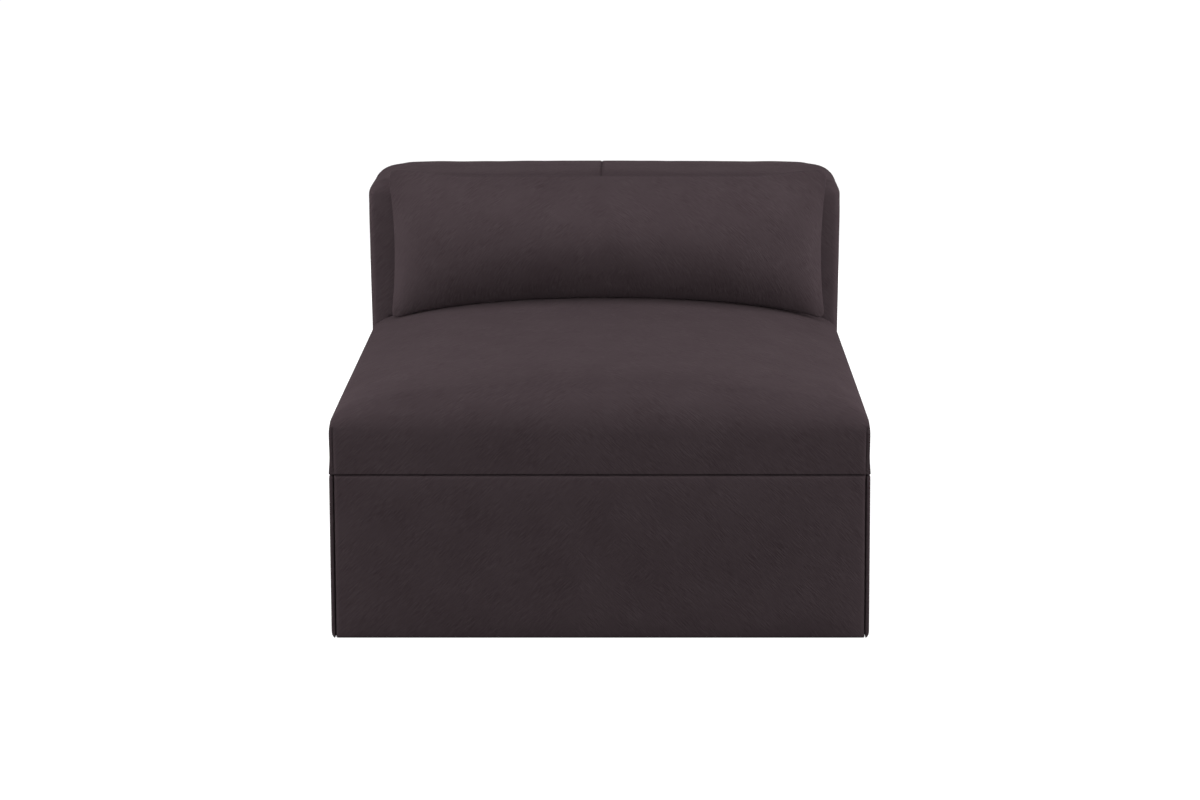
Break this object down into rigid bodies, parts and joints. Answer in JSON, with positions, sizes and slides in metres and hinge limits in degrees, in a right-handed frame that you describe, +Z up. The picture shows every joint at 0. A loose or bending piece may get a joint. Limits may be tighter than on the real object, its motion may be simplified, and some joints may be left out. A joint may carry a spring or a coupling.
{
  "type": "armless recliner",
  "caption": "Low armless power recliner: crowned full-width seat on a box base, thick leaning back block, lumbar pillow and a footrest that folds flush into the front.",
  "frame": {"origin": "on the floor under the middle of the chair's box", "axes": "+Z up, the seat faces -Y, +X is to the right of someone looking at the front"},
  "size_m": [1, 1.065, 0.764],
  "materials": {
    "velvet": "brushed velvet",
    "timber": "sawn",
    "black_steel": "satin powder coat",
    "zinc_steel": "zinc plated",
    "black_plastic": "fine texture",
    "button_plastic": "satin",
    "webbing": "woven elastic",
    "felt": "pressed felt",
    "dust_cloth": "non-woven cloth"
  },
  "bodies": {
    "base": {"base_panel_left": "velvet", "base_panel_right": "velvet", "base_runner_left": "timber", "base_runner_right": "timber", "cross_rail_front": "timber", "cross_rail_rear": "timber", "plinth_rail": "timber", "rear_board": "timber", "floor_glides": "black_plastic", "side_plate_left": "black_steel", "side_plate_right": "black_steel", "cross_tube_front": "black_steel", "cross_tube_rear": "black_steel", "shaft_bushes": "black_plastic", "guide_pins": "zinc_steel", "hinge_pins": "zinc_steel", "mechanism_bolts": "zinc_steel", "seat_rail_front": "timber", "seat_rail_rear": "timber", "seat_rail_left": "timber", "seat_rail_right": "timber", "seat_webbing": "webbing", "seat_deck": "felt", "seat_cushion": "velvet", "seat_tongue": "velvet", "footrest_motor": "black_plastic", "recline_actuator": "black_plastic", "control_box": "black_plastic", "power_inlet": "black_plastic", "switch_housing": "black_plastic"},
    "back": {"back_post_left": "timber", "back_post_right": "timber", "back_top_rail": "timber", "back_middle_rail": "timber", "back_bottom_rail": "timber", "back_webbing": "webbing", "back_lower_cloth": "dust_cloth", "back_bracket_left": "black_steel", "back_bracket_right": "black_steel", "back_cross_bar": "black_steel", "back_bolts": "zinc_steel", "back_cover": "velvet", "lumbar_pillow": "velvet"},
    "rod": {"actuator_rod": "zinc_steel"},
    "drive_links": {"drive_link_left": "black_steel", "drive_link_right": "black_steel", "drive_shaft": "zinc_steel"},
    "guide_links": {"guide_links": "black_steel"},
    "long_links": {"long_links": "black_steel", "long_link_pins": "zinc_steel"},
    "stay_links": {"stay_links": "black_steel", "stay_link_pins": "zinc_steel"},
    "footrest": {"footrest_board": "timber", "footrest_pad": "velvet", "footrest_brackets": "black_steel", "footrest_screws": "zinc_steel"},
    "button_1": {"button_1": "button_plastic"},
    "button_2": {"button_2": "button_plastic"},
    "button_3": {"button_3": "button_plastic"},
    "button_4": {"button_4": "button_plastic"}
  },
  "joints": [
    {"name": "footrest_lift", "type": "hinge", "parent": "base", "child": "drive_links", "pos_m": [0, -0.3005, 0.29], "axis": [-1, 0, 0], "range_deg": [0, 90]},
    {"name": "guide_swing", "type": "hinge", "parent": "base", "child": "guide_links", "pos_m": [0, -0.23956, 0.25555], "axis": [-1, 0, 0], "range_deg": [0, 90]},
    {"name": "long_link_swing", "type": "hinge", "parent": "drive_links", "child": "long_links", "pos_m": [0, -0.2215, 0.118], "axis": [-1, 0, 0], "range_deg": [-90, 0]},
    {"name": "stay_link_swing", "type": "hinge", "parent": "drive_links", "child": "stay_links", "pos_m": [0, -0.19395, 0.05802], "axis": [-1, 0, 0], "range_deg": [-90, 0]},
    {"name": "panel_swing", "type": "hinge", "parent": "long_links", "child": "footrest", "pos_m": [0, -0.455, 0.25], "axis": [-1, 0, 0], "range_deg": [0, 90]},
    {"name": "back_recline", "type": "hinge", "parent": "base", "child": "back", "pos_m": [0, 0.2825, 0.16], "axis": [-1, 0, 0], "range_deg": [0, 22]},
    {"name": "rod_slide", "type": "slide", "parent": "base", "child": "rod", "axis": [0, 1, 0], "range_m": [0, 0.0352]},
    {"name": "button_1_press", "type": "slide", "parent": "base", "child": "button_1", "axis": [-1, 0, 0], "range_m": [0, 0.0015], "stiffness_N_per_m": 400},
    {"name": "button_2_press", "type": "slide", "parent": "base", "child": "button_2", "axis": [-1, 0, 0], "range_m": [0, 0.0015], "stiffness_N_per_m": 400},
    {"name": "button_3_press", "type": "slide", "parent": "base", "child": "button_3", "axis": [-1, 0, 0], "range_m": [0, 0.0015], "stiffness_N_per_m": 400},
    {"name": "button_4_press", "type": "slide", "parent": "base", "child": "button_4", "axis": [-1, 0, 0], "range_m": [0, 0.0015], "stiffness_N_per_m": 400}
  ],
  "couplings": [
    {"joint": "guide_swing", "follows": "footrest_lift", "ratio": 1},
    {"joint": "long_link_swing", "follows": "footrest_lift", "ratio": -1},
    {"joint": "stay_link_swing", "follows": "footrest_lift", "ratio": -1},
    {"joint": "panel_swing", "follows": "footrest_lift", "ratio": 1},
    {"joint": "rod_slide", "follows": "back_recline", "m_per_rad": 0.091122}
  ]
}
